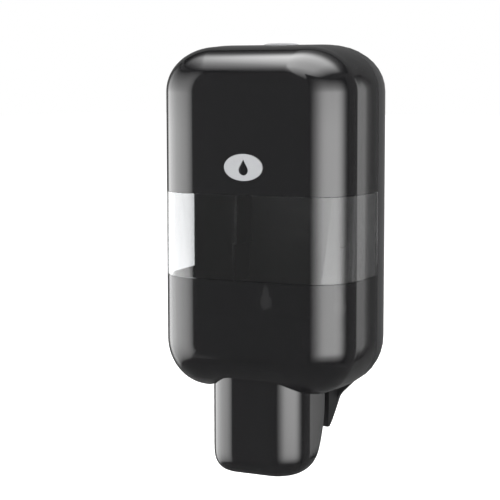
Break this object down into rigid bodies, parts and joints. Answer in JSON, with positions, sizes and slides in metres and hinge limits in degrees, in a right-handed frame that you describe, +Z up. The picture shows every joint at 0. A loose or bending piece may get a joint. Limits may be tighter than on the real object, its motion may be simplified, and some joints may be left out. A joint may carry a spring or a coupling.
{
  "type": "wall mounted soap dispenser",
  "caption": "Wall mounted soap dispenser: grey back housing, hinged glossy black cover with a clear band, and a push lever below.",
  "frame": {"origin": "middle of the back plate's rear face, where it rests on the wall", "axes": "+X to the right seen from the front, +Y from the cover's front to the wall, +Z up"},
  "size_m": [0.112, 0.0803, 0.2306],
  "materials": {
    "cover": "high gloss, black",
    "clear_band": "clear plastic, polished",
    "housing": "matt, dark grey",
    "inner_plastic": "matt, black",
    "light_plastic": "satin, light grey",
    "steel": "plain",
    "rubber": "matt, black"
  },
  "bodies": {
    "housing": {"rear_housing": "housing", "hinge_pin_left": "steel", "hinge_pin_right": "steel", "bottle_guide_left": "inner_plastic", "bottle_guide_right": "inner_plastic", "nozzle_cradle": "inner_plastic", "cradle_screw_left": "steel", "cradle_screw_right": "steel", "lock_bracket": "inner_plastic", "bracket_screw_left": "steel", "bracket_screw_right": "steel", "lock_spring": "steel"},
    "latch": {"lock_button": "light_plastic", "latch_slider": "inner_plastic"},
    "cover": {"cover_upper": "cover", "cover_window": "clear_band", "cover_lower": "cover", "cover_emblem": "light_plastic", "catch_plate": "inner_plastic", "lever_mount": "inner_plastic", "mount_screw_left": "steel", "mount_screw_right": "steel", "lever_axle": "steel", "lever_stop_left": "rubber", "lever_stop_right": "rubber", "lever_spring_left": "steel", "lever_spring_right": "steel"},
    "lever": {"push_lever": "cover", "lifter_fork": "inner_plastic"}
  },
  "joints": [
    {"name": "button_press", "type": "slide", "parent": "housing", "child": "latch", "axis": [0, 0, -1], "range_m": [0, 0.0025], "stiffness_N_per_m": 600, "springref_m": -0.002, "deforming": ["lock_spring"]},
    {"name": "cover_hinge", "type": "hinge", "parent": "housing", "child": "cover", "pos_m": [0, -0.027, -0.0865], "axis": [1, 0, 0], "range_deg": [0, 50]},
    {"name": "lever_push", "type": "hinge", "parent": "cover", "child": "lever", "pos_m": [0, -0.058, -0.062], "axis": [1, 0, 0], "range_deg": [0, 12], "stiffness_Nm_per_rad": 0.5, "springref_deg": -8.59}
  ]
}
